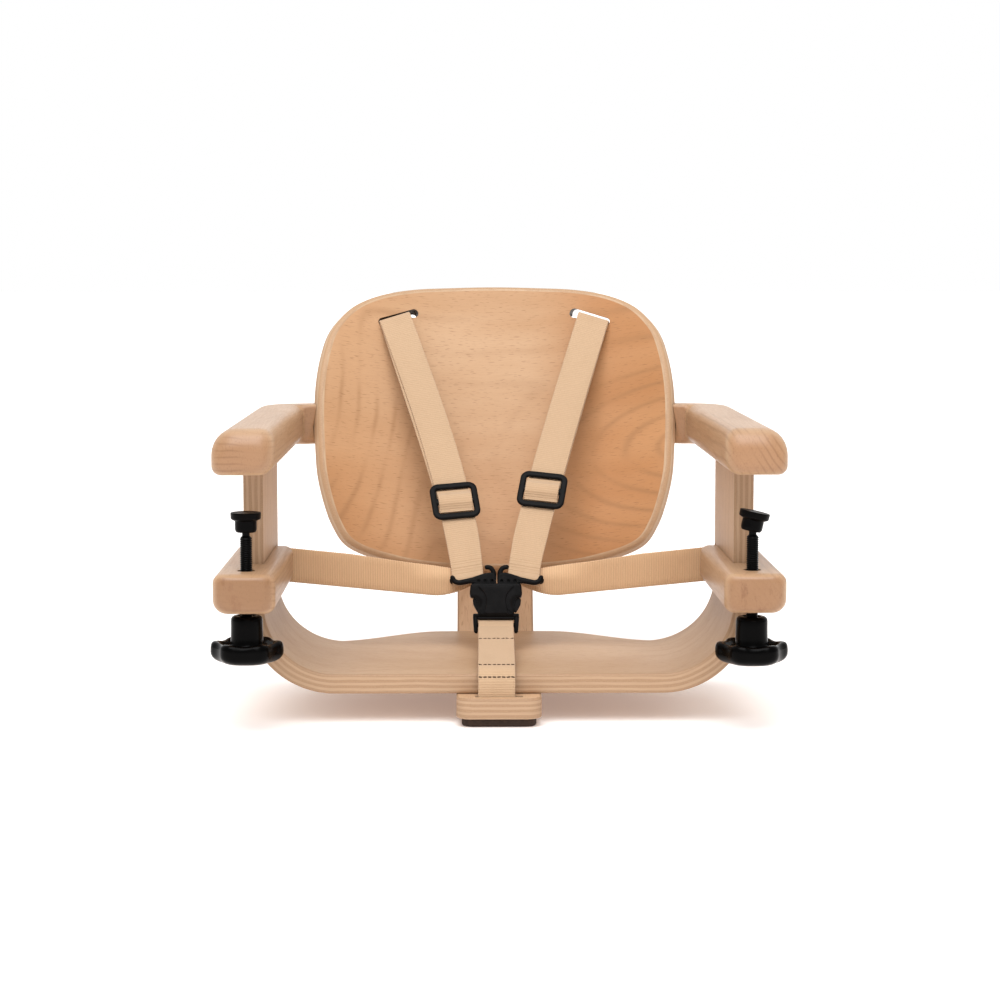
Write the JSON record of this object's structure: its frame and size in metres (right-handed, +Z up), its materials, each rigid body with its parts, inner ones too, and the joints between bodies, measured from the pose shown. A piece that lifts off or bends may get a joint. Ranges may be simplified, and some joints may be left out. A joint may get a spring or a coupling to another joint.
{
  "type": "hook on table chair",
  "caption": "Hook-on child seat for a table edge: moulded plywood seat and leaning backrest, wooden arms over the table top, screw clamps beneath and a webbing harness.",
  "frame": {"origin": "on the floor plane, under the middle of the chair's bounding box", "axes": "+X to the viewer's right across the arms, -Y forward to the table, +Z up"},
  "size_m": [0.3778, 0.364, 0.29],
  "materials": {
    "beech": "solid beech, clear satin lacquer",
    "plywood": "beech faced plywood, clear satin lacquer, bare banded edges",
    "webbing": "ribbed beige polyester webbing",
    "knob_plastic": "glossy black",
    "black_plastic": "satin black moulding",
    "black_steel": "black oxide",
    "zinc_steel": "bright zinc",
    "foot_rubber": "matt dark rubber"
  },
  "bodies": {
    "frame": {"back_screw_lower": "zinc_steel", "back_screw_upper": "zinc_steel", "back_spine": "plywood", "backrest": "plywood", "buckle_body": "black_plastic", "crotch_pin": "zinc_steel", "crotch_strap": "webbing", "front_foot": "foot_rubber", "left_arm_tail_screw": "zinc_steel", "left_hook_tongue": "black_plastic", "left_lower_arm": "beech", "left_lower_arm_screw_front": "zinc_steel", "left_lower_arm_screw_rear": "zinc_steel", "left_shoulder_keeper": "black_plastic", "left_shoulder_strap": "webbing", "left_thread_insert": "black_steel", "left_upper_arm": "beech", "left_waist_keeper": "black_plastic", "left_waist_strap": "webbing", "rear_foot": "foot_rubber", "right_arm_tail_screw": "zinc_steel", "right_hook_tongue": "black_plastic", "right_lower_arm": "beech", "right_lower_arm_screw_front": "zinc_steel", "right_lower_arm_screw_rear": "zinc_steel", "right_shoulder_keeper": "black_plastic", "right_shoulder_strap": "webbing", "right_thread_insert": "black_steel", "right_upper_arm": "beech", "right_waist_keeper": "black_plastic", "right_waist_strap": "webbing", "seat_screw_front": "zinc_steel", "seat_screw_rear": "zinc_steel", "seat_shell": "plywood"},
    "left_ball": {"left_swivel_ball": "black_steel"},
    "left_screw": {"left_clamp_screw": "black_steel", "left_knob": "knob_plastic"},
    "left_pad": {"left_swivel_pad": "black_plastic"},
    "left_adjuster": {"left_slider": "black_plastic", "left_slider_loop": "webbing"},
    "left_prong": {"left_latch_prong": "black_plastic"},
    "right_ball": {"right_swivel_ball": "black_steel"},
    "right_screw": {"right_clamp_screw": "black_steel", "right_knob": "knob_plastic"},
    "right_pad": {"right_swivel_pad": "black_plastic"},
    "right_adjuster": {"right_slider": "black_plastic", "right_slider_loop": "webbing"},
    "right_prong": {"right_latch_prong": "black_plastic"}
  },
  "joints": [
    {"name": "left_clamp_travel", "type": "slide", "parent": "frame", "child": "left_ball", "axis": [0, 0, 1], "range_m": [-0.02, 0.0025]},
    {"name": "left_screw_turn", "type": "hinge", "parent": "left_ball", "child": "left_screw", "pos_m": [-0.165, -0.15782, 0.1391], "axis": [0, 0, 1], "range_deg": [-5761, 721]},
    {"name": "left_pad_tilt", "type": "hinge", "parent": "left_ball", "child": "left_pad", "pos_m": [-0.165, -0.15782, 0.1391], "axis": [0, 1, 0], "range_deg": [-14, 14]},
    {"name": "left_strap_adjust", "type": "slide", "parent": "frame", "child": "left_adjuster", "axis": [-0.2255, 0.6201, 0.7514], "range_m": [-0.03, 0.16]},
    {"name": "left_prong_press", "type": "hinge", "parent": "frame", "child": "left_prong", "pos_m": [-0.0146, -0.01648, 0.07732], "axis": [0, -0.9613, 0.2756], "range_deg": [0, 7], "stiffness_Nm_per_rad": 0.05},
    {"name": "right_clamp_travel", "type": "slide", "parent": "frame", "child": "right_ball", "axis": [0, 0, 1], "range_m": [-0.02, 0.00375]},
    {"name": "right_screw_turn", "type": "hinge", "parent": "right_ball", "child": "right_screw", "pos_m": [0.165, -0.15782, 0.1394], "axis": [0, 0, 1], "range_deg": [-5761, 1081]},
    {"name": "right_pad_tilt", "type": "hinge", "parent": "right_ball", "child": "right_pad", "pos_m": [0.165, -0.15782, 0.1394], "axis": [0, 1, 0], "range_deg": [-26, 2]},
    {"name": "right_strap_adjust", "type": "slide", "parent": "frame", "child": "right_adjuster", "axis": [0.2255, 0.6201, 0.7514], "range_m": [-0.038, 0.15]},
    {"name": "right_prong_press", "type": "hinge", "parent": "frame", "child": "right_prong", "pos_m": [0.0146, -0.01648, 0.07732], "axis": [0, -0.9613, 0.2756], "range_deg": [-7, 0], "stiffness_Nm_per_rad": 0.05}
  ],
  "couplings": [
    {"joint": "left_screw_turn", "follows": "left_clamp_travel", "rad_per_m": 5026.5},
    {"joint": "right_screw_turn", "follows": "right_clamp_travel", "rad_per_m": 5026.5}
  ]
}
